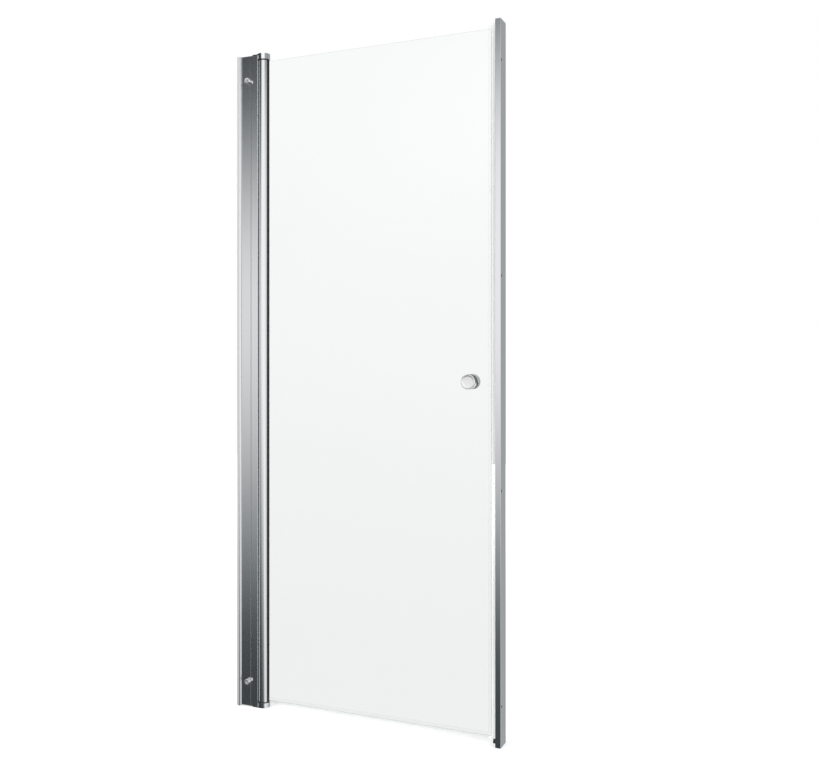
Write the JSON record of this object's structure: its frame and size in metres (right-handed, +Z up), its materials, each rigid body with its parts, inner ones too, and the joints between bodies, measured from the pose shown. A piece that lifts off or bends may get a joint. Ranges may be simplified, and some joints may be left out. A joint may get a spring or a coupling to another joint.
{
  "type": "pivot shower door",
  "caption": "Pivot shower door for a niche: a clear glass leaf on a round column turns beside an adjustable wall jamb, with round knobs and a magnetic wall strike.",
  "frame": {"origin": "on the tray, midway between the two walls, in the middle plane of the glass", "axes": "+X from the hinge wall to the strike wall, +Y from the room into the shower, +Z up"},
  "size_m": [0.8, 0.0545, 1.9045],
  "materials": {
    "bright_aluminium": "bright anodised extrusion",
    "chromed_casting": "polished chrome on zinc",
    "chromed_screw": "polished chrome",
    "satin_chrome": "satin chrome",
    "steel_fastener": "plain stainless steel",
    "clear_glass": "clear toughened glass, polished edges",
    "black_rubber": "matt black",
    "clear_vinyl": "clear soft vinyl",
    "magnet_strip": "white coated flexible magnet",
    "black_acetal": "black bearing plastic",
    "clear_nylon": "pale translucent nylon"
  },
  "bodies": {
    "wall_profiles": {"wall_channel": "bright_aluminium", "strike_profile": "bright_aluminium", "strike_strip": "clear_vinyl", "strike_magnet": "magnet_strip"},
    "jamb": {"jamb_profile": "bright_aluminium", "jamb_wiper_seal": "black_rubber", "clamp_screws": "chromed_screw", "clamp_nuts": "steel_fastener", "bottom_pivot_bracket": "chromed_casting", "top_pivot_bracket": "chromed_casting", "bracket_screws": "steel_fastener", "bottom_pivot_pin": "steel_fastener", "top_pivot_pin": "steel_fastener"},
    "leaf": {"pivot_column": "bright_aluminium", "bottom_bush": "black_acetal", "top_bush": "black_acetal", "glass_pane": "clear_glass", "front_glazing_gasket": "black_rubber", "rear_glazing_gasket": "black_rubber", "glass_spacers": "black_rubber", "edge_seal": "clear_vinyl", "door_magnet": "magnet_strip", "bottom_seal": "clear_vinyl", "front_knob": "satin_chrome", "rear_knob": "satin_chrome", "knob_washers": "clear_nylon", "knob_sleeve": "clear_nylon", "knob_stud": "steel_fastener"}
  },
  "joints": [
    {"name": "width_adjustment", "type": "slide", "parent": "wall_profiles", "child": "jamb", "axis": [-1, 0, 0], "range_m": [0, 0.0075]},
    {"name": "door_pivot", "type": "hinge", "parent": "jamb", "child": "leaf", "pos_m": [-0.3235, 0, 0.95], "axis": [0, 0, -1], "range_deg": [0, 100]}
  ]
}
